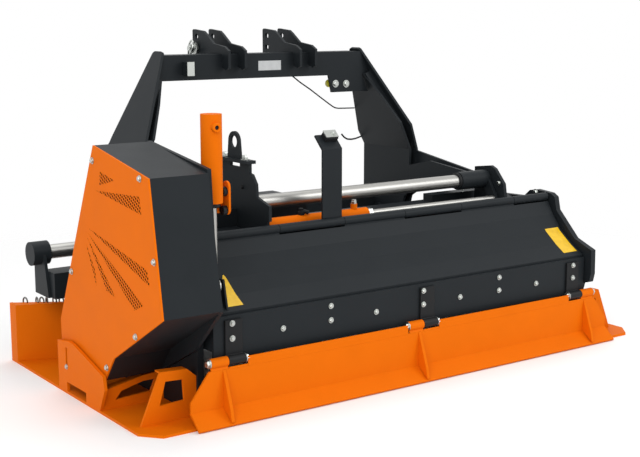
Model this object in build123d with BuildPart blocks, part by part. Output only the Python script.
from build123d import *
import os
from math import atan, cos, hypot, radians, sin

os.makedirs("parts", exist_ok=True)

# Driving sizes in millimetres: X across, +Y towards the tractor, Z up from the ground
working_width = 1800.0
side_t = 25.0
skid_w = 247.0
plate_t = 10.0
run_fit = 0.08
overrun = 4.0

half_in = working_width / 2
half_out = half_in + side_t
skid_out = half_out + skid_w

# Rotor axis, top hinge of the hood, and the two slide bars
rotor_y, rotor_z = -40.0, 290.0
hinge_y, hinge_z, hinge_r = -280.0, 585.0, 17.0
rear_bar_y, rear_bar_z, rear_bar_r = -120.0, 662.0, 27.0
front_bar_y, front_bar_z, front_bar_r = 456.0, 448.0, 28.0


def save(piece, name):
    piece.label = name
    export_step(piece, f"parts/{name}.step")


def spread(shares, y, z, depth, height):
    """Points of an outline from its shares of a depth and a height."""
    return [(y + depth * a, z + height * b) for a, b in shares]


def strip(path, t):
    """Closed outline of a bent plate: the path, and the same path t to its left with mitred corners."""
    sides = []
    for (ya, za), (yb, zb) in zip(path, path[1:]):
        run = hypot(yb - ya, zb - za)
        sides.append((-(zb - za) / run, (yb - ya) / run))
    back = []
    for i, (y, z) in enumerate(path):
        before, after = sides[max(i - 1, 0)], sides[min(i, len(sides) - 1)]
        ny, nz = before[0] + after[0], before[1] + after[1]
        reach = 2 * t / (ny * ny + nz * nz)
        back.append((y + ny * reach, z + nz * reach))
    return path + back[::-1]


def height_on(path, y):
    """Height of a path at a depth y, on straight runs between its points."""
    for (ya, za), (yb, zb) in zip(path, path[1:]):
        if min(ya, yb) <= y <= max(ya, yb):
            return za + (zb - za) * (y - ya) / (yb - ya)
    return path[-1][1]


def yz_plate(points, x, t):
    """A plate that stands across the machine's width, its outline in depth and height."""
    with BuildPart() as plate:
        with BuildSketch(Plane.YZ.offset(x)):
            Polygon(*points, align=None)
        extrude(amount=t)
    return plate.part


def x_rod(x, length, y, z, r, bore=0):
    """A round bar or sleeve along X from x."""
    with BuildPart() as rod:
        with BuildSketch(Plane.YZ.offset(x)):
            with Locations((y, z)):
                Circle(r)
                if bore:
                    Circle(bore, mode=Mode.SUBTRACT)
        extrude(amount=length)
    return rod.part


# Side plates of the rotor housing, standing on the skids
shoe_t = 10.0
side_back, side_depth = -456.0, 1046.0
side_h = 597.0
bearing_hole_r = 75.0
tube_half, tube_h = 45.0, 68.0
tube_bottom = 565.0
# depth share, height share, from the plate's lower rear corner
side_back_shares = [(0, 0), (0, 0.69)]
left_top_shares = [(0.11, 0.87), (0.125, 0.965), (0.2, 1), (0.38, 0.97), (0.53, 0.95)]
guard_shares = [(0, 0), (0, 0.18), (-0.02, 0.3), (-0.035, 0.39), (-0.075, 0.41), (-0.083, 0.47), (-0.081, 0.635),
                (0.011, 0.697)]
guard_top_shares = [(0.114, 0.876), (0.126, 0.966), (0.15, 0.99), (0.23, 1), (0.267, 0.988), (0.301, 0.938),
                    (0.53, 0.925)]
side_front_shares = [(0.77, 0.628), (0.86, 0.628), (0.935, 0.39), (1, 0)]


def side_plate(shares, x):
    points = spread(shares + side_front_shares, side_back, shoe_t, side_depth, side_h)
    with BuildPart() as plate:
        with BuildSketch(Plane.YZ.offset(x)):
            Polygon(*points, align=None)
            with Locations((rotor_y, rotor_z)):
                Circle(bearing_hole_r, mode=Mode.SUBTRACT)
            if x < 0:
                with Locations((0, tube_bottom + tube_h / 2)):
                    Rectangle(2 * tube_half, tube_h, mode=Mode.SUBTRACT)
        extrude(amount=side_t)
    return plate.part


save(side_plate(side_back_shares + left_top_shares, -half_out), "side_plate_left")
save(side_plate(guard_shares + guard_top_shares, half_in), "side_plate_right")

# Roof of the rotor chamber: a trough behind the drive tube, a ridge, and the slope to the front beam
roof_gap = 7.0
trough_z, trough_back, trough_front = 550.0, -228.0, -110.0
roof_back = hinge_y + hinge_r + roof_gap
beam_y, beam_z = 340.0, 285.0
beam_d, beam_h = 100.0, 100.0
roof_rise = roof_gap
roof_lip = 12.0
roof_path = [(roof_back, hinge_z + roof_rise), (roof_back + roof_lip, hinge_z + roof_rise),
             (trough_back, trough_z), (trough_front, trough_z), (-tube_half - plate_t, tube_bottom),
             (tube_half + plate_t, tube_bottom), (beam_y, beam_z + beam_h)]
box_start, box_depth, box_h = 470.0, 60.0, 32.0
with BuildPart() as roof:
    with BuildSketch(Plane.YZ.offset(-half_in)):
        Polygon(*strip(roof_path[::-1], plate_t), align=None)
    extrude(amount=working_width)
    with BuildSketch(Plane.YZ.offset(box_start)):
        with Locations((0, tube_bottom + box_h / 2)):
            Rectangle(box_depth, box_h)
    extrude(amount=half_in - box_start)
save(roof.part, "chamber_roof")

# Front cross beam and the apron that carries the chain curtain
with BuildPart() as front_beam:
    with BuildSketch(Plane.YZ.offset(-half_in)):
        with Locations((beam_y + beam_d / 2, beam_z + beam_h / 2)):
            Rectangle(beam_d, beam_h)
    extrude(amount=working_width)
save(front_beam.part, "front_beam")

curtain_y, curtain_z, curtain_half = 556.0, 245.0, 10.0
apron_root = beam_y + beam_d
apron_points = [(apron_root, beam_z + plate_t), (apron_root, beam_z + 2 * plate_t),
                (curtain_y - curtain_half, curtain_z + plate_t / 2),
                (curtain_y - curtain_half, curtain_z - plate_t / 2)]
with BuildPart() as apron:
    with BuildSketch(Plane.YZ.offset(-half_in)):
        Polygon(*apron_points, align=None)
    extrude(amount=working_width)
save(apron.part, "front_apron")

# Chain curtain: a square strip along the apron's edge, and strands of links welded under it
strand_count, strand_links = 30, 4
link_wide, link_wire, strand_drop = 34.0, 9.0, 205.0
link_long = (strand_drop + 2 * link_wire * (strand_links - 1)) / strand_links


def chain_link(x, middle_z, turned):
    """One link of square wire that hangs across the curtain, or edge on to it."""
    face = Plane(origin=(x, curtain_y, middle_z), x_dir=(0, 1, 0) if turned else (1, 0, 0),
                 z_dir=(1, 0, 0) if turned else (0, -1, 0))
    with BuildPart() as ring:
        with BuildSketch(face.offset(-link_wire / 2)):
            Rectangle(link_wide, link_long)
            Rectangle(link_wide - 2 * link_wire, link_long - 2 * link_wire, mode=Mode.SUBTRACT)
        extrude(amount=link_wire)
    return ring.part


with BuildPart() as strip_bar:
    with BuildSketch(Plane.YZ.offset(-half_in)):
        with Locations((curtain_y, curtain_z)):
            Rectangle(2 * curtain_half, 2 * curtain_half)
    extrude(amount=working_width)
curtain = [strip_bar.part]
for i in range(strand_count):
    for j in range(strand_links):
        curtain.append(chain_link(-half_in + working_width / strand_count * (i + 1 / 2),
                                  curtain_z - curtain_half - link_long / 2 - (link_long - 2 * link_wire) * j,
                                  j % 2 == 1))
save(Compound(children=curtain), "chain_curtain")

# Skids: a flat shoe, an outer upright, two braces and a front deflector on each side
shoe_front, shoe_back = 594.0, -560.0
shoe_chamfer_x, shoe_chamfer_y = 59.0, 69.0
upright_t = 12.0
upright_y, upright_depth, upright_h = -250.0, 385.0, 192.0
slot_y, slot_z, slot_w, slot_l = 60.0, 135.0, 14.0, 80.0
arch_y, arch_w, arch_h = -18.0, 162.0, 35.0
# depth share, height share, from the upright's rear end at the shoe
upright_shares = [(0.11, 0), (0, 0.42), (0.03, 0.67), (0.64, 0.98), (0.74, 1), (1, 0.92), (1, 0)]


def both_sides(left):
    """The left-hand pieces and their mirror images."""
    with BuildPart() as pair:
        add(left)
        mirror(about=Plane.YZ)
    return pair.part


with BuildPart() as shoe:
    with BuildSketch():
        Polygon((-skid_out, shoe_front), (-half_in, shoe_front), (-half_in, shoe_back),
                (-skid_out + shoe_chamfer_x, shoe_back), (-skid_out, shoe_back + shoe_chamfer_y), align=None)
    extrude(amount=shoe_t)
save(both_sides(shoe.part), "skid_shoes")

with BuildPart() as upright:
    with BuildSketch(Plane.YZ.offset(-skid_out)):
        Polygon(*spread(upright_shares, upright_y, shoe_t, upright_depth, upright_h), align=None)
        with Locations((slot_y, slot_z)):
            SlotOverall(slot_l, slot_w, rotation=90, mode=Mode.SUBTRACT)
        with Locations((arch_y, shoe_t + arch_h / 2)):
            Rectangle(arch_w, arch_h, mode=Mode.SUBTRACT)
    extrude(amount=upright_t)
save(both_sides(upright.part), "skid_uprights")

# Braces stand across the skid, higher at the side plate
brace_t = 10.0
front_brace_y, rear_brace_y = -200.0, -436.0
# width share from the upright, height share
front_brace_shares = [(0, 0), (0, 0.38), (0.68, 0.56), (1, 0.58), (1, 0)]
rear_brace_shares = [(0.1, 0), (0.42, 1), (0.85, 0.97), (1, 0.8), (1, 0)]
front_window_shares = [(0.2, 0.16), (0.3, 0.32), (0.66, 0.44), (0.86, 0.44), (0.78, 0.2)]
rear_window_shares = [(0.4, 0.34), (0.5, 0.8), (0.78, 0.78), (0.8, 0.36)]
brace_h = 176.0
brace_w = skid_w - upright_t
# run of the folded cap along the top edge, from the side plate outwards, and its breadth forwards
front_cap_shares = [(1, 0.58), (0.68, 0.56), (0.04, 0.39)]
rear_cap_shares = [(1, 0.8), (0.85, 0.97), (0.42, 1)]
cap_w, cap_t = 38.0, 6.0


def brace(shares, window, cap, y):
    face = Plane(origin=(-skid_out + upright_t, y, shoe_t), x_dir=(1, 0, 0), z_dir=(0, -1, 0))
    with BuildPart() as web:
        with BuildSketch(face):
            Polygon(*spread(shares, 0, 0, brace_w, brace_h), align=None)
            Polygon(*spread(window, 0, 0, brace_w, brace_h), align=None, mode=Mode.SUBTRACT)
        extrude(amount=brace_t)
        with BuildSketch(face.offset(brace_t - cap_w)):
            Polygon(*spread(cap, 0, 0, brace_w, brace_h), *spread(cap, 0, -cap_t, brace_w, brace_h)[::-1],
                    align=None)
        extrude(amount=cap_w)
    return web.part


with BuildPart() as braces:
    add(brace(front_brace_shares, front_window_shares, front_cap_shares, front_brace_y))
    add(brace(rear_brace_shares, rear_window_shares, rear_cap_shares, rear_brace_y))
    mirror(about=Plane.YZ)
save(braces.part, "skid_braces")

# Front deflector: a slanted wall under a three-cornered top plate, and an outer strip
deflector_h, deflector_t = 235.0, 10.0
deflector_back = 450.0
outer_back = 534.0
with BuildPart() as deflector:
    with BuildSketch(Plane.XY.offset(shoe_t)):
        Polygon((-skid_out, shoe_front), (-skid_out, outer_back), (-half_out, deflector_back),
                (-half_out, deflector_back + deflector_t), (-skid_out + upright_t, outer_back + deflector_t),
                (-skid_out + upright_t, shoe_front), align=None)
    extrude(amount=deflector_h - shoe_t)
    with BuildSketch(Plane.XY.offset(deflector_h - deflector_t)):
        Polygon((-skid_out, shoe_front), (-skid_out, outer_back), (-half_out, deflector_back), align=None)
    extrude(amount=deflector_t)
save(both_sides(deflector.part), "skid_deflectors")

# Belt cover on the left: a back plate, a dark box and the outer panel
back_t = 15.0
cover_wall, panel_t = 6.0, 6.0
cover_gap = 4.0
cover_out = skid_out - upright_t - cover_gap - panel_t
cover_back, cover_front = -650.0, 135.0
cover_low, cover_top = 118.0, 924.0
cover_depth, cover_h = cover_front - cover_back, cover_top - cover_low
# depth share, height share, from the cover's rearmost line and its lowest corner
cover_shares = [(0.545, 0), (0.995, 0.083), (1, 0.18), (0.594, 1), (0.093, 0.914), (0, 0.371), (0.451, 0.118)]
plate_shares = [(0.545, 0), (0.995, 0.083), (1, 0.18), (0.92, 0.62), (0.83, 0.68), (0.625, 1), (0.105, 0.93),
                (0.08, 0.62), (0.023, 0.36), (0.24, 0.155)]
cover_points = spread(cover_shares, cover_back, cover_low, cover_depth, cover_h)
plate_points = spread(plate_shares, cover_back, cover_low, cover_depth, cover_h)
cover_in = half_out + back_t

with BuildPart() as back_plate:
    with BuildSketch(Plane.YZ.offset(-cover_in)):
        Polygon(*plate_points, align=None)
        with Locations((rotor_y, rotor_z)):
            Circle(bearing_hole_r, mode=Mode.SUBTRACT)
    extrude(amount=back_t)
save(back_plate.part, "belt_back_plate")

with BuildPart() as cover_box:
    with BuildSketch(Plane.YZ.offset(-cover_out)):
        Polygon(*cover_points, align=None)
        offset(amount=-cover_wall, mode=Mode.SUBTRACT)
    extrude(amount=cover_out - cover_in)
save(cover_box.part, "belt_cover")

with BuildPart() as cover_panel:
    with BuildSketch(Plane.YZ.offset(-cover_out - panel_t)):
        Polygon(*cover_points, align=None)
    extrude(amount=panel_t)
save(cover_panel.part, "belt_cover_panel")

# Rotor: a hollow drum on two journals, with welded tool holders in a spiral and a tooth on each
drum_r, drum_wall, drum_gap = 150.0, 30.0, 14.0
journal_r, journal_l = 45.0, 75.0
drum_half = half_in - drum_gap
holder_w, holder_t, holder_reach = 60.0, 70.0, 196.0
tooth_w, tooth_t, tooth_reach = 54.0, 46.0, 240.0
tool_count, tool_rows = 28, 4
tool_pitch = (2 * drum_half - holder_w) / (tool_count - 1)
tool_seats = []
for i in range(tool_count):
    turn = radians(360 / tool_rows * i + 360 / tool_count * (i // tool_rows))
    tool_seats.append(Plane(origin=(-drum_half + holder_w / 2 + i * tool_pitch, rotor_y, rotor_z),
                            x_dir=(1, 0, 0), z_dir=(0, sin(turn), cos(turn))))
with BuildPart() as drum:
    with BuildSketch(Plane.YZ.offset(-drum_half)):
        with Locations((rotor_y, rotor_z)):
            Circle(drum_r)
    extrude(amount=2 * drum_half)
    with BuildSketch(Plane.YZ.offset(-half_in - journal_l)):
        with Locations((rotor_y, rotor_z)):
            Circle(journal_r)
    extrude(amount=2 * (half_in + journal_l))
    for seat in tool_seats:
        with BuildSketch(seat.offset(drum_r - drum_wall)):
            Rectangle(holder_w, holder_t)
        extrude(amount=holder_reach - drum_r + drum_wall)
    with BuildSketch(Plane.YZ.offset(-drum_half + drum_wall)):
        with Locations((rotor_y, rotor_z)):
            Circle(drum_r - drum_wall)
    extrude(amount=2 * (drum_half - drum_wall), mode=Mode.SUBTRACT)
save(drum.part, "rotor_drum")

teeth = []
for seat in tool_seats:
    with BuildPart() as tooth:
        with BuildSketch(Plane(origin=seat.origin, x_dir=seat.y_dir, z_dir=seat.x_dir)):
            Polygon((-tooth_t / 2, holder_reach), (tooth_t / 2, holder_reach), (tooth_t / 4, tooth_reach),
                    (-tooth_t / 4, tooth_reach), align=None)
        extrude(amount=tooth_w / 2, both=True)
    teeth.append(tooth.part)
save(Compound(children=teeth), "rotor_hammers")

housing_r, housing_l, cap_l = 95.0, 60.0, 12.0
with BuildPart() as housing:
    add(x_rod(half_out, housing_l + cap_l, rotor_y, rotor_z, housing_r))
    add(x_rod(half_out, housing_l, rotor_y, rotor_z, journal_r + run_fit), mode=Mode.SUBTRACT)
housings = [housing.part,
            x_rod(-half_out - housing_l, housing_l, rotor_y, rotor_z, bearing_hole_r, journal_r + run_fit)]
save(Compound(children=housings), "rotor_bearings")

# Top hinge of the hood: long knuckles, fixed and moving in turn, on a pin that the fixed ones hold
knuckle_end, knuckle_last = 117.5, 201.0
knuckle_gap = 2.0
knuckle_count = 6
pin_r = 10.0
end_play = 7.0
hood_half = half_in - end_play
knuckle_pitch = (2 * hood_half - knuckle_end - knuckle_last) / (knuckle_count - 1)
knuckle_first = -hood_half + knuckle_end
stops = [-hood_half] + [knuckle_first + knuckle_pitch * i for i in range(knuckle_count)] + [hood_half]


def knuckle(a, b, edge, bore=0):
    """One knuckle between two stops, with the web that ties it to the edge of the plate beside it."""
    with BuildPart() as sleeve:
        with BuildSketch(Plane.YZ.offset(a + knuckle_gap / 2)):
            Polygon((hinge_y, hinge_z), *edge, align=None)
            with Locations((hinge_y, hinge_z)):
                Circle(hinge_r)
                if bore:
                    Circle(bore, mode=Mode.SUBTRACT)
        extrude(amount=b - a - knuckle_gap)
    return sleeve.part


spans = list(zip(stops, stops[1:]))
roof_points = strip(roof_path[::-1], plate_t)
roof_edge = roof_points[len(roof_path) - 1:len(roof_path) + 1]
with BuildPart() as fixed_hinge:
    for a, b in spans[0::2]:
        add(knuckle(a, b, roof_edge))
    add(x_rod(knuckle_first - knuckle_gap, -2 * (knuckle_first - knuckle_gap), hinge_y, hinge_z, pin_r))
save(fixed_hinge.part, "hinge_knuckles_fixed")

# Hood behind the rotor: a bent shell, end plates inside the side plates, and a bolted lower panel
panel_y = -510.0
hood_panel_t = 12.0
panel_low, panel_top = 210.0, 358.0
hood_t = 10.0
hood_shell_low = 240.0
hood_front = hinge_y - hinge_r + knuckle_gap
hood_top = hinge_z - hinge_r - pin_r / 10
hood_back = panel_y + hood_panel_t
# depth share, height share, from the shell's lower edge behind the lower panel
hood_shares = [(1, 1), (0.85, 0.841), (0.606, 0.657), (0.31, 0.514), (0, 0.391), (0, 0)]
hood_path = spread(hood_shares, hood_back, hood_shell_low, hood_front - hood_back, hood_top - hood_shell_low)
with BuildPart() as hood:
    with BuildSketch(Plane.YZ.offset(-hood_half)):
        Polygon(*strip(hood_path, hood_t), align=None)
    extrude(amount=2 * hood_half)
save(hood.part, "hood_shell")
hood_points = strip(hood_path, hood_t)
hood_edge = [hood_points[-1], hood_points[0]]
save(Compound(children=[knuckle(a, b, hood_edge, pin_r + run_fit) for a, b in spans[1::2]]), "hinge_knuckles_hood")

with BuildPart() as hood_panel:
    with BuildSketch(Plane.YZ.offset(-hood_half)):
        Polygon((panel_y, panel_low), (panel_y + hood_panel_t, panel_low),
                (panel_y + hood_panel_t, panel_top), (panel_y, panel_top), align=None)
    extrude(amount=2 * hood_half)
save(hood_panel.part, "hood_lower_panel")

end_t = 10.0
end_front = -400.0
end_points = hood_points[len(hood_path):][::-1]
hood_end_points = end_points + [(end_front, hood_shell_low)]
ends = [yz_plate(hood_end_points, x, end_t) for x in (-hood_half, hood_half - end_t)]
save(Compound(children=ends), "hood_end_plates")

# Lower flap on three hinges under the panel: the pin is fixed in the sleeve below the bolted bracket
flap_hinge_y, flap_hinge_z = -528.0, 210.0
sleeve_r, sleeve_l, flap_pin_r = 17.0, 69.0, 8.0
hinge_inset = 48.0
hinge_x = [-half_in + hinge_inset, 0.0, half_in - hinge_inset]
# side on which the bracket's sleeve stands from the hinge's middle
hinge_sides = [1, 1, -1]
bracket_t, bracket_top = 8.0, 345.0
flap_t = 8.0
flap_top = 186.0
flap_y = flap_hinge_y - bracket_t * 3 / 2
bracket_points = [(flap_hinge_y, flap_hinge_z), (panel_y - bracket_t, flap_hinge_z + sleeve_r),
                  (panel_y - bracket_t, bracket_top), (panel_y, bracket_top), (panel_y, flap_hinge_z)]
tab_points = [(flap_hinge_y, flap_hinge_z), (flap_y, flap_top), (flap_y + flap_t, flap_top)]


def hinge_sleeve(x, points, bore):
    """One sleeve of a flap hinge, from its left end, with the plate that carries it."""
    with BuildPart() as sleeve:
        with BuildSketch(Plane.YZ.offset(x + knuckle_gap / 2)):
            Polygon(*points, align=None)
            with Locations((flap_hinge_y, flap_hinge_z)):
                Circle(sleeve_r)
                if bore:
                    Circle(bore, mode=Mode.SUBTRACT)
        extrude(amount=sleeve_l - knuckle_gap)
    return sleeve.part


flap_sleeves = []
with BuildPart() as flap_brackets:
    for x, side in zip(hinge_x, hinge_sides):
        start, other = (x, x - sleeve_l) if side > 0 else (x - sleeve_l, x)
        add(hinge_sleeve(start, bracket_points, 0))
        pin_start = other if side > 0 else x - knuckle_gap
        add(x_rod(pin_start, sleeve_l + knuckle_gap, flap_hinge_y, flap_hinge_z, flap_pin_r))
        flap_sleeves.append(hinge_sleeve(other, tab_points, flap_pin_r + run_fit))
save(flap_brackets.part, "flap_hinge_brackets")
save(Compound(children=flap_sleeves), "flap_hinge_sleeves")

flap_crease, flap_lip_z = 54.0, 8.0
flap_lip_y = -595.0
flap_half, flap_top_half, flap_taper = 1000.0, 925.0, 90.0
flap_path = [(flap_y, flap_top), (flap_y, flap_crease), (flap_lip_y, flap_lip_z)]
with BuildPart() as flap:
    with BuildSketch(Plane.YZ.offset(-flap_half)):
        Polygon(*strip(flap_path, flap_t), align=None)
    extrude(amount=2 * flap_half)
    with BuildSketch(Plane.XZ.offset(-flap_y - plate_t)):
        for side in (-1, 1):
            Polygon((side * flap_half, flap_taper), (side * flap_half, flap_top + overrun),
                    (side * flap_top_half, flap_top + overrun), align=None)
    extrude(amount=2 * plate_t, mode=Mode.SUBTRACT)
save(flap.part, "flap_plate")

rib_t = 12.0
rib_x = [-870.0, -20.0, 870.0]
rib_points = [(flap_y, flap_top), (flap_y, flap_crease), (flap_lip_y, flap_lip_z + flap_t),
              (flap_lip_y + flap_t, flap_crease)]
ribs = [yz_plate(rib_points, x - rib_t / 2, rib_t) for x in rib_x]
save(Compound(children=ribs), "flap_ribs")

# Support plate with the lifting eye, the rear slide bar and its right-hand bracket
support_x, support_t = -500.0, 12.0
support_back, support_front, support_top = -269.0, 93.0, 810.0
support_low = 612.0
support_foot_y = hinge_y + hinge_r + roof_gap + knuckle_gap
# depth share, height share, from the lower rear corner over the hinge to the flat top
support_shares = [(0, 0), (0, 0.29), (0.047, 0.31), (0.235, 0.41), (0.246, 0.64), (0.32, 0.81), (0.367, 0.825),
                  (0.367, 1)]
support_points = spread(support_shares, support_back, support_low, support_front - support_back,
                        support_top - support_low)
eye_y, eye_w, eye_foot_w, eye_top, eye_hole_r, eye_t = -27.0, 77.0, 92.0, 923.0, 23.0, 10.0
notch_w, notch_h = 68.0, 17.0
notch_y = eye_y - plate_t
support_points += [(notch_y - notch_w / 2, support_top), (notch_y - notch_w / 2, support_top - notch_h),
                   (notch_y + notch_w / 2, support_top - notch_h), (notch_y + notch_w / 2, support_top),
                   (support_front, support_top), (support_front, tube_bottom + tube_h),
                   (-tube_half, tube_bottom + tube_h), (-tube_half, height_on(roof_path, -tube_half))]
support_points += roof_path[4:1:-1]
support_points += [roof_path[1], (support_foot_y, height_on(roof_path, support_foot_y)),
                   (support_foot_y, support_low)]
save(yz_plate(support_points, support_x - support_t, support_t), "support_plate")

# Lifting eye on a flat bar over the notch
bar_t, bar_w, bar_l = 12.0, 40.0, 211.0
eye_mid_z = eye_top - eye_w / 2
with BuildPart() as eye:
    with BuildSketch(Plane.YZ.offset(support_x - support_t / 2 - eye_t / 2)):
        Polygon((eye_y - eye_foot_w / 2, support_top + bar_t), (eye_y + eye_foot_w / 2, support_top + bar_t),
                (eye_y + eye_w / 2, eye_mid_z), (eye_y - eye_w / 2, eye_mid_z), align=None)
        with Locations((eye_y, eye_mid_z)):
            Circle(eye_w / 2)
            Circle(eye_hole_r, mode=Mode.SUBTRACT)
    extrude(amount=eye_t)
    with BuildSketch(Plane.XY.offset(support_top)):
        with Locations((support_x - support_t / 2, notch_y)):
            Rectangle(bar_w, bar_l)
    extrude(amount=bar_t)
save(eye.part, "lifting_eye")

bar_inset = 210.0
bar_end = half_in - bar_inset
save(x_rod(support_x, bar_end - support_x, rear_bar_y, rear_bar_z, rear_bar_r), "rear_slide_bar")
rear_bracket_t = 16.0
rear_bracket_back, rear_bracket_front, rear_bracket_top = -240.0, -51.0, 719.0
# depth share from the rear, height share from the drive tube's underside
rear_bracket_shares = [(1, 0.916), (0.49, 1), (0.35, 0.93), (0.063, 0.545)]
rear_bracket_points = spread(rear_bracket_shares, rear_bracket_back, tube_bottom,
                             rear_bracket_front - rear_bracket_back, rear_bracket_top - tube_bottom)
rear_bracket_points += [(rear_bracket_back, height_on(roof_path, rear_bracket_back))] + roof_path[2:5]
rear_bracket_points += [(rear_bracket_front, tube_bottom)]
save(yz_plate(rear_bracket_points, bar_end, rear_bracket_t), "rear_bar_bracket")

boss_r = 46.0

# Drive: gearbox on the roof, square drive tube to the belt cover, splined input shaft
gear_x, gear_w = -300.0, 220.0
gear_front, gear_top = 200.0, 645.0
gear_rib = 14.0
with BuildPart() as tube:
    with BuildSketch(Plane.YZ.offset(-half_out)):
        with Locations((0, tube_bottom + tube_h / 2)):
            Rectangle(2 * tube_half, tube_h)
    extrude(amount=half_out + gear_x - gear_w / 2)
save(tube.part, "drive_tube")

pto_z = 600.0
pto_r, pto_l, pto_seat_r = 17.5, 110.0, 22.5
collar_r, collar_l = 55.0, 34.0
gear_points = [(-tube_half, gear_top), (gear_front, gear_top), (gear_front, pto_z - collar_r - gear_rib),
               (gear_front - collar_r, height_on(roof_path, gear_front - collar_r)),
               (tube_half + plate_t, tube_bottom), (-tube_half, tube_bottom)]
with BuildPart() as gearbox:
    with BuildSketch(Plane.YZ.offset(gear_x - gear_w / 2)):
        Polygon(*gear_points, align=None)
    extrude(amount=gear_w)
    with BuildSketch(Plane.XZ.offset(-gear_front)):
        with Locations((gear_x, pto_z)):
            Circle(collar_r)
    extrude(amount=-collar_l)
    with BuildSketch(Plane.XZ.offset(-gear_front - collar_l)):
        with Locations((gear_x, pto_z)):
            Circle(pto_seat_r + run_fit)
    extrude(amount=collar_l, mode=Mode.SUBTRACT)
save(gearbox.part, "gearbox")
with BuildPart() as pto:
    with BuildSketch(Plane.XZ.offset(-gear_front - run_fit)):
        with Locations((gear_x, pto_z)):
            Circle(pto_seat_r)
    extrude(amount=-collar_l)
    with BuildSketch(Plane.XZ.offset(-gear_front - run_fit)):
        with Locations((gear_x, pto_z)):
            Circle(pto_r)
    extrude(amount=-collar_l - pto_l)
save(pto.part, "input_shaft")

# Front bar brackets: a boss and a plate on a stub of the front beam, and a plate on the beam
stub_l = 163.0
stub_end = half_out + stub_l
boss_l, boss_gap = 70.0, 23.0
boss_right = -stub_end + boss_gap
boss_left = boss_right - boss_l
hanger_t = 12.0
with BuildPart() as stub:
    with BuildSketch(Plane.YZ.offset(-stub_end)):
        with Locations((beam_y + beam_d / 2, beam_z + beam_h / 2)):
            Rectangle(beam_d, beam_h)
    extrude(amount=stub_end - half_out)
save(stub.part, "front_beam_stub")

hanger_left_points = [(beam_y + beam_d / 3, beam_z), (front_bar_y + boss_r, beam_z),
                      (front_bar_y + boss_r, front_bar_z), (front_bar_y - boss_r, front_bar_z)]
with BuildPart() as hanger:
    with BuildSketch(Plane.YZ.offset(-stub_end - hanger_t)):
        Polygon(*hanger_left_points, align=None)
    extrude(amount=hanger_t)
    with BuildSketch(Plane.YZ.offset(boss_left)):
        with Locations((front_bar_y, front_bar_z)):
            Circle(boss_r)
    extrude(amount=boss_right - boss_left)
save(hanger.part, "front_bar_bracket_left")

front_bar_inset = 200.0
bar_right = half_in - front_bar_inset
hanger_right_points = [(beam_y + beam_d / 3, beam_z + beam_h), (beam_y + beam_d, beam_z + beam_h),
                       (front_bar_y + boss_r, front_bar_z - boss_r / 2),
                       (front_bar_y + boss_r / 2, front_bar_z + boss_r),
                       (front_bar_y - boss_r, front_bar_z + boss_r / 2)]
save(yz_plate(hanger_right_points, bar_right, hanger_t), "front_bar_bracket_right")
save(x_rod(boss_right, bar_right - boss_right, front_bar_y, front_bar_z, front_bar_r), "front_slide_bar")

# Headstock: two splayed legs of two plates each, a cross beam, a lower beam, and the arm to the rear bar
leg_gap, leg_t = 26.0, 12.0
shift_travel, travel_gap = 240.0, 17.5
right_gap = 103.0
leg_left_x = boss_right + shift_travel + travel_gap + leg_gap / 2 + leg_t
leg_right_x = bar_right - right_gap
portal_mid = (leg_left_x + leg_right_x) / 2
leg_mid = leg_right_x - portal_mid
outer_x, inner_x = leg_right_x + leg_gap / 2, leg_right_x - leg_gap / 2 - leg_t
knee_z, leg_top = 760.0, 1204.0
splay = 0.5
tilt = atan(splay)
beam_top_z, top_beam_h, top_beam_d = 1193.0, 101.0, 100.0
top_beam_y = 380.0
leg_back, leg_front = 250.0, 582.0
# bends of the outer plate's rear and front edges, and its rounded head
bend_back, bend_back_z = 224.0, 870.0
bend_front, bend_front_z = 510.0, 867.0
head_back, head_front, head_r = 384.0, 459.0, 18.0
# the inner plate's swept rear edge and its front bend
sweep_back, sweep_z, sweep_mid, sweep_mid_z, sweep_top = 243.0, 880.0, 312.0, 1003.0, 375.0
inner_bend, inner_bend_z, inner_top = 588.0, 821.0, 475.0
foot_r, foot_over = 45.0, 15.0


def splayed(points, x, t, corner=0):
    """A plate in the plane of the splayed right-hand leg, from its place x at the knee and its thickness."""
    face = Plane(origin=(x, 0, knee_z), x_dir=(0, 1, 0), z_dir=(cos(tilt), 0, sin(tilt)))
    low = -leg_t * sin(tilt)
    with BuildPart() as plate:
        with BuildSketch(face) as outline:
            Polygon(*[(y, (z - knee_z) / cos(tilt) if z > knee_z else low) for y, z in points], align=None)
            if corner:
                fillet(outline.vertices().sort_by(Axis.Y)[-2:], corner)
        extrude(amount=t * cos(tilt))
    return plate.part


beam_low = beam_top_z - top_beam_h
beam_half_top = leg_mid + leg_gap / 2 - splay * (beam_top_z - knee_z)
beam_half_low = leg_mid + leg_gap / 2 - splay * (beam_low - knee_z)
beam_points = [(portal_mid - beam_half_low, beam_low), (portal_mid + beam_half_low, beam_low),
               (portal_mid + beam_half_top, beam_top_z), (portal_mid - beam_half_top, beam_top_z)]
upper_out = [(leg_back, knee_z), (bend_front, knee_z), (bend_front, bend_front_z), (head_front, leg_top),
             (head_back, leg_top), (bend_back, bend_back_z)]
upper_in = [(leg_back, knee_z), (leg_front, knee_z), (inner_bend, inner_bend_z), (inner_top, beam_low),
            (sweep_top, beam_low), (sweep_mid, sweep_mid_z), (sweep_back, sweep_z)]
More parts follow.
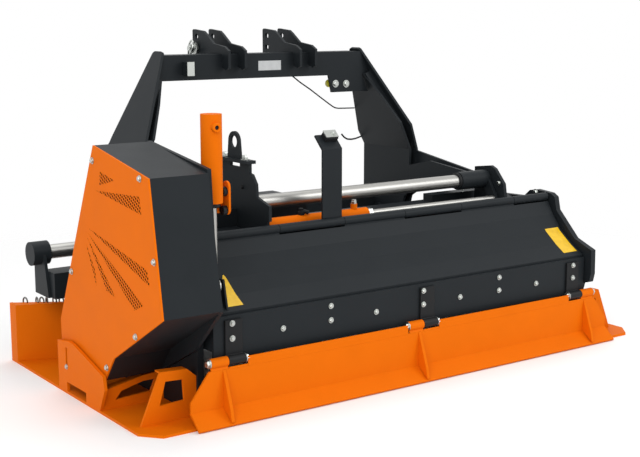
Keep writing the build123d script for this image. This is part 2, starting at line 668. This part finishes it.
# the arch under the arm and the rear edge down to the foot, shared by both plates
arch_points = [(leg_back, 566.0), (283.0, 546.0), (300.0, 493.0), (front_bar_y - foot_r, front_bar_z)]
low_beam_y, low_beam_d = front_bar_y + foot_r, 66.0
low_beam_z, low_beam_h = 430.0, 100.0
foot_points = [(front_bar_y, front_bar_z - foot_r), (low_beam_y + low_beam_d, low_beam_z),
               (leg_front, low_beam_z + low_beam_h)]
lower_in = arch_points + foot_points + [(leg_front, knee_z), (leg_back, knee_z)]
lower_out = arch_points + foot_points + [(bend_front, knee_z - low_beam_h), (bend_front, knee_z),
                                         (leg_back, knee_z)]
web_t, web_set = 10.0, 60.0
web_path = [(leg_back + web_set, knee_z), (bend_back + web_set, bend_back_z), (sweep_top, beam_low)]
with BuildPart() as leg:
    add(splayed(upper_out, outer_x, leg_t, head_r))
    add(splayed(upper_in, inner_x, leg_t))
    add(splayed(strip(web_path, web_t), inner_x + leg_t / 2, leg_gap + leg_t))
    with BuildSketch(Plane.YZ.offset(inner_x)):
        Polygon(*lower_in, align=None)
    extrude(amount=leg_t)
    with BuildSketch(Plane.YZ.offset(outer_x)):
        Polygon(*lower_out, align=None)
    extrude(amount=leg_t)
    with BuildSketch(Plane.YZ.offset(inner_x - foot_over)):
        with Locations((front_bar_y, front_bar_z)):
            Circle(foot_r)
    extrude(amount=leg_gap + 2 * leg_t + 2 * foot_over)
    with BuildSketch(Plane.YZ.offset(leg_right_x)):
        with Locations((front_bar_y, front_bar_z)):
            Circle(front_bar_r + run_fit)
    extrude(amount=stub_l, both=True, mode=Mode.SUBTRACT)
    with BuildSketch(Plane.XZ.offset(-top_beam_y)):
        Polygon(*beam_points, align=None)
    extrude(amount=-top_beam_d, mode=Mode.SUBTRACT)
leg_left = mirror(leg.part, about=Plane.YZ.offset(portal_mid))
save(leg.part, "headstock_leg_right")
save(leg_left, "headstock_leg_left")

# A flat bracket hangs under the beam's rear face beside the right leg
bracket_start, bracket_low, bracket_thick, lug_drop = 222.0, 1018.0, 12.0, 18.0
bracket_in = inner_x - splay * (bracket_low - knee_z) - leg_t / 2
bracket_root = inner_x - splay * (beam_low - knee_z) - leg_t / 2
with BuildPart() as top_beam:
    with BuildSketch(Plane.XZ.offset(-top_beam_y)):
        Polygon(*beam_points, align=None)
    extrude(amount=-top_beam_d)
    with BuildSketch(Plane.XZ.offset(-top_beam_y)):
        Polygon((bracket_start, beam_low + overrun), (bracket_start + lug_drop, bracket_low),
                (bracket_in, bracket_low), (bracket_root, beam_low + overrun), align=None)
    extrude(amount=-bracket_thick)
save(top_beam.part, "headstock_cross_beam")

# Top link plates in two pairs, each saddled on the cross beam, with an upper and a lower pin hole
link_pitch, link_spacing = 350.0, 825.0
top_link_x = [portal_mid - link_pitch / 2, portal_mid + link_pitch / 2]
link_gap, link_t = 66.0, 12.0
link_pin_r = 12.8
link_hole_y, link_hole_high, link_hole_low = 586.0, 1260.0, 1212.0
pin_over = 12.0
link_back, link_depth = 331.0, 288.0
link_low, link_h = 1096.0, 195.0
rear_share = (top_beam_y - link_back) / link_depth
front_share = (top_beam_y + top_beam_d - link_back) / link_depth
seat_share = (beam_top_z - link_low) / link_h
# depth share, height share: the lobe behind the beam, the saddle, the front edge, the nose and the slope
link_shares = [(0, 0.21), (0.07, 0.17), (rear_share, 0.23), (rear_share, seat_share), (front_share, seat_share),
               (front_share, 0.05), (0.98, 0.3), (1, 0.36), (1, 0.975), (0.975, 1), (0.69, 0.965), (0.61, 0.9),
               (0.415, 0.71), (0.11, 0.655), (0, 0.57)]
link_plates = []
for x in top_link_x:
    for start in (x - link_gap / 2 - link_t, x + link_gap / 2):
        with BuildPart() as link_plate:
            with BuildSketch(Plane.YZ.offset(start)):
                Polygon(*spread(link_shares, link_back, link_low, link_depth, link_h), align=None)
                with Locations((link_hole_y, link_hole_high), (link_hole_y, link_hole_low)):
                    Circle(link_pin_r, mode=Mode.SUBTRACT)
            extrude(amount=link_t)
        link_plates.append(link_plate.part)
save(Compound(children=link_plates), "top_link_plates")
link_pin_l = link_gap + 2 * link_t + 2 * pin_over
save(x_rod(top_link_x[0] - link_pin_l / 2, link_pin_l, link_hole_y, link_hole_low, link_pin_r), "top_link_pin")

# Lower beam between the legs with four pairs of lower link lugs, two for each pair of top link plates
lug_gap, lug_t, lug_r = 60.0, 15.0, 38.0
low_pin_y, low_pin_z, low_pin_r = 612.0, 480.0, 14.2
low_half = leg_mid - leg_gap / 2 - leg_t
lug_points = [(low_beam_y + low_beam_d, low_beam_z), (low_pin_y + lug_r / 2, low_pin_z - lug_r),
              (low_pin_y + lug_r, low_pin_z - lug_r / 2), (low_pin_y + lug_r, low_pin_z + lug_r / 2),
              (low_pin_y + lug_r / 2, low_pin_z + lug_r), (low_beam_y + low_beam_d, low_beam_z + low_beam_h)]
with BuildPart() as low_beam:
    with BuildSketch(Plane.YZ.offset(portal_mid - low_half)):
        with Locations((low_beam_y + low_beam_d / 2, low_beam_z + low_beam_h / 2)):
            Rectangle(low_beam_d, low_beam_h)
    extrude(amount=2 * low_half)
    for middle in top_link_x:
        for x in (middle - link_spacing / 2, middle + link_spacing / 2):
            for start in (x - lug_gap / 2 - lug_t, x + lug_gap / 2):
                with BuildSketch(Plane.YZ.offset(start)):
                    Polygon(*lug_points, align=None)
                    with Locations((low_pin_y, low_pin_z)):
                        Circle(low_pin_r, mode=Mode.SUBTRACT)
                extrude(amount=lug_t)
save(low_beam.part, "headstock_lower_beam")

# Arm from the right leg to the sleeve on the rear bar, with the eye for the shift rod
rear_sleeve_l, rear_sleeve_r, sleeve_gap = 155.0, 38.0, 5.0
sleeve_left = bar_end - sleeve_gap - rear_sleeve_l
shift_y, shift_z = -190.0, 585.0
shift_eye_r = 19.0
arm_crest_y, arm_crest_z = 110.0, 722.0
arm_start, arm_start_out = 690.0, 753.0
arch_mid_y, arch_mid_z, arch_end_y, arch_end_z = 172.0, 584.0, 0.0, 616.0
arm_low_points = [(rear_bar_y, rear_bar_z + rear_sleeve_r), (rear_bar_y, rear_bar_z - rear_sleeve_r),
                  (arch_end_y, arch_end_z), (arch_mid_y, arch_mid_z), arch_points[0]]
shift_arm_t = 15.0
with BuildPart() as arm:
    with BuildSketch(Plane.YZ.offset(inner_x)):
        Polygon(*arm_low_points, (leg_back, arm_start), (arm_crest_y, arm_crest_z), align=None)
    extrude(amount=leg_t)
    with BuildSketch(Plane.YZ.offset(outer_x)):
        Polygon(*arm_low_points, (leg_back, arm_start_out), align=None)
    extrude(amount=leg_t)
    with BuildSketch(Plane.YZ.offset(inner_x + leg_t)):
        Polygon(*strip([(leg_back, arm_start), (arm_crest_y, arm_crest_z - plate_t)], plate_t), align=None)
    extrude(amount=leg_gap)
    with BuildSketch(Plane.YZ.offset(sleeve_left)):
        with Locations((rear_bar_y, rear_bar_z)):
            Circle(rear_sleeve_r)
    extrude(amount=rear_sleeve_l)
    with BuildSketch(Plane.YZ.offset(sleeve_left + rear_sleeve_l - shift_arm_t)):
        Polygon((rear_bar_y, rear_bar_z - rear_sleeve_r / 2), (rear_bar_y - rear_sleeve_r, rear_bar_z),
                (shift_y - shift_eye_r, shift_z), (shift_y, shift_z - shift_eye_r),
                (shift_y + shift_eye_r, shift_z - shift_eye_r), align=None)
    extrude(amount=shift_arm_t)
    with BuildSketch(Plane.YZ.offset(sleeve_left)):
        with Locations((rear_bar_y, rear_bar_z)):
            Circle(rear_bar_r + run_fit)
    extrude(amount=2 * rear_sleeve_l, both=True, mode=Mode.SUBTRACT)
save(arm.part, "headstock_arm")

# Side shift cylinder: the barrel is held by the support plate, the rod pushes the arm
barrel_r, rod_r = 25.0, 13.0
barrel_l, barrel_wall = 492.0, 20.0
barrel_end = support_x + barrel_l
rod_start = barrel_end - 3 * barrel_wall
port_r, port_h, port_inset = 13.0, 44.0, 60.0
with BuildPart() as barrel:
    add(x_rod(support_x, barrel_l, shift_y, shift_z, barrel_r))
    with BuildSketch(Plane.XY.offset(shift_z)):
        with Locations((barrel_end - port_inset, shift_y)):
            Circle(port_r)
    extrude(amount=port_h)
    add(x_rod(support_x + barrel_wall, barrel_l, shift_y, shift_z, rod_r + run_fit), mode=Mode.SUBTRACT)
save(barrel.part, "shift_cylinder_barrel")
rod_end = sleeve_left + rear_sleeve_l - shift_arm_t
save(x_rod(rod_start, rod_end - rod_start, shift_y, shift_z, rod_r), "shift_cylinder_rod")

# Hood cylinder beside the belt cover: barrel in a fork, rod down to a lug on the hood
cyl_inset = 50.0
cyl_x, cyl_y = -half_in + cyl_inset, -443.0
cyl_r, cyl_rod_r = 36.0, 15.0
cyl_low, cyl_top = 735.0, 1032.0
trunnion_z, trunnion_r = 770.0, 16.0
eye_z, eye_r, eye_l = 450.0, 24.0, 34.0
rod_in = 50.0
cyl_cap = 15.0
with BuildPart() as cyl:
    with BuildSketch(Plane.XY.offset(cyl_low)):
        with Locations((cyl_x, cyl_y)):
            Circle(cyl_r)
    extrude(amount=cyl_top - cyl_low)
    with BuildSketch(Plane.XY.offset(cyl_low)):
        with Locations((cyl_x, cyl_y)):
            Circle(cyl_rod_r + run_fit)
    extrude(amount=cyl_top - cyl_low - cyl_cap, mode=Mode.SUBTRACT)
save(cyl.part, "hood_cylinder_barrel")

with BuildPart() as cyl_rod:
    with BuildSketch(Plane.YZ.offset(cyl_x - eye_l / 2)):
        with Locations((cyl_y, eye_z)):
            Circle(eye_r)
    extrude(amount=eye_l)
    with BuildSketch(Plane.XY.offset(eye_z)):
        with Locations((cyl_x, cyl_y)):
            Circle(cyl_rod_r)
    extrude(amount=cyl_low + rod_in - eye_z)
save(cyl_rod.part, "hood_cylinder_rod")

fork_t, fork_play = 8.0, 16.0
lobe_w = 40.0
fork_right = cyl_x + cyl_r + fork_play
fork_low, fork_high = 690.0, 805.0
fork_back, fork_front = -478.0, -392.0
web_top = trunnion_z - trunnion_r
with BuildPart() as fork:
    with BuildSketch(Plane.YZ.offset(-half_out)):
        Polygon((fork_back, fork_low), (fork_front, fork_low), (fork_front, fork_high), (fork_back, fork_high),
                align=None)
    extrude(amount=fork_t)
    with BuildSketch(Plane.YZ.offset(fork_right)):
        with Locations((cyl_y, (fork_low + fork_high) / 2)):
            SlotOverall(fork_high - fork_low, lobe_w, rotation=90)
        Polygon((cyl_y, fork_low + lobe_w / 2), (fork_front, fork_low), (fork_front, web_top), (cyl_y, web_top),
                align=None)
    extrude(amount=fork_t)
    with BuildSketch(Plane.YZ.offset(-half_out)):
        Polygon((fork_front - fork_t, fork_low), (fork_front, fork_low), (fork_front, web_top),
                (fork_front - fork_t, web_top), align=None)
    extrude(amount=fork_right + half_out)
save(fork.part, "hood_cylinder_fork")
left_stub = half_out - fork_t + cyl_x - cyl_r - knuckle_gap
right_stub = fork_right - cyl_x - cyl_r - knuckle_gap
stubs = [x_rod(-half_out + fork_t, left_stub, cyl_y, trunnion_z, trunnion_r),
         x_rod(cyl_x + cyl_r + knuckle_gap, right_stub, cyl_y, trunnion_z, trunnion_r),
         x_rod(fork_right - 2 * fork_t, 2 * fork_t, cyl_y, fork_low + trunnion_r, trunnion_r)]
save(Compound(children=stubs), "hood_cylinder_bosses")

rod_lug_t, rod_lug_play = 7.0, 5.0
rod_lug_points = [(cyl_y - eye_r, eye_z + eye_r), (cyl_y + eye_r, eye_z + eye_r),
                  (cyl_y + 2 * eye_r, height_on(hood_path, cyl_y + 2 * eye_r)),
                  (hood_path[3][0], hood_path[3][1]),
                  (cyl_y - 2 * eye_r, height_on(hood_path, cyl_y - 2 * eye_r))]
lug_sides = (cyl_x - eye_l / 2 - rod_lug_play - rod_lug_t, cyl_x + eye_l / 2 + rod_lug_play)
lugs = [yz_plate(rod_lug_points, x, rod_lug_t) for x in lug_sides]
save(Compound(children=lugs), "hood_cylinder_lugs")

# Hose holder: a flat strap with a bent head and a clamp
post_x, post_w, post_y, post_t = -235.0, 89.0, -270.0, 8.0
post_bend, post_head_y, post_head_z = 858.0, -222.0, 905.0
post_path = [(post_y, hinge_z), (post_y, post_bend), (post_head_y, post_head_z)]
with BuildPart() as post:
    with BuildSketch(Plane.YZ.offset(post_x - post_w / 2)):
        Polygon(*strip(post_path, post_t), align=None)
        with Locations((hinge_y, hinge_z)):
            Circle(hinge_r, mode=Mode.SUBTRACT)
    extrude(amount=post_w)
save(post.part, "hose_holder")
